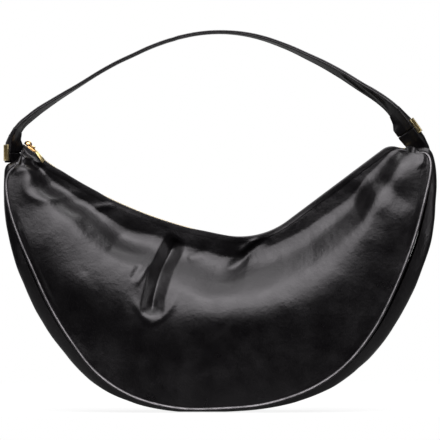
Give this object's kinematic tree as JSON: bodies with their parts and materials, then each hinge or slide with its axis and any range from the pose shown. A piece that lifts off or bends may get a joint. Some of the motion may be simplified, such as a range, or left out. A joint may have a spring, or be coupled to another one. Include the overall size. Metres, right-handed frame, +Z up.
{
  "type": "half moon shoulder bag",
  "caption": "Half moon leather shoulder bag with a curved zip mouth, piped gusset and a twisted strap on two ring plates.",
  "frame": {"origin": "middle of the bounding box, on the plane that the base stands on", "axes": "+X along the bag to the right as seen from the front, +Y from front to back, +Z up"},
  "size_m": [0.4585, 0.1012, 0.4035],
  "materials": {
    "leather": "smooth black leather with a soft sheen",
    "piping": "black leather piping",
    "lining": "woven cotton lining",
    "board": "stiff bonded board",
    "zip_tape": "black woven zip tape",
    "zip_metal": "polished light gold",
    "ring_metal": "satin gold"
  },
  "bodies": {
    "bag": {"front_panel": "leather", "back_panel": "leather", "gusset": "leather", "front_piping": "piping", "back_piping": "piping", "front_facing": "leather", "back_facing": "leather", "left_end_cap": "leather", "right_end_cap": "leather", "front_lining": "lining", "back_lining": "lining", "gusset_lining": "lining", "base_board": "board", "front_tape": "zip_tape", "back_tape": "zip_tape", "front_teeth": "zip_metal", "back_teeth": "zip_metal", "top_stops": "zip_metal", "bottom_stop": "zip_metal", "left_tab": "leather", "right_tab": "leather"},
    "strap": {"left_strap_loop": "leather", "right_strap_loop": "leather", "strap_outer": "leather", "strap_lining": "leather", "strap_core": "board"},
    "ring_left": {"left_ring": "ring_metal"},
    "ring_right": {"right_ring": "ring_metal"},
    "slider": {"zip_slider": "zip_metal"},
    "pull": {"zip_pull": "zip_metal"}
  },
  "joints": [
    {"name": "strap_swing", "type": "hinge", "parent": "bag", "child": "strap", "pos_m": [-0.22098, 0, 0.27679], "axis": [0.9984, 0, 0.0565], "range_deg": [-75, 90], "stiffness_Nm_per_rad": 0.3, "deforming": ["left_strap_loop", "right_strap_loop"]},
    {"name": "left_ring_tilt", "type": "hinge", "parent": "bag", "child": "ring_left", "pos_m": [-0.22098, 0, 0.27079], "axis": [0.4384, 0.8988, 0], "range_deg": [-6, 6]},
    {"name": "right_ring_tilt", "type": "hinge", "parent": "bag", "child": "ring_right", "pos_m": [0.20253, 0, 0.29567], "axis": [-0.5448, 0.7431, -0.3886], "range_deg": [-6, 6]},
    {"name": "zip_slide", "type": "hinge", "parent": "bag", "child": "slider", "pos_m": [0.08973, 0, 0.6548], "axis": [0, -1, 0], "range_deg": [0, 26.4]},
    {"name": "zip_pull_swing", "type": "hinge", "parent": "slider", "child": "pull", "pos_m": [-0.19765, 0, 0.2795], "axis": [0, -1, 0], "range_deg": [0, 100]}
  ]
}
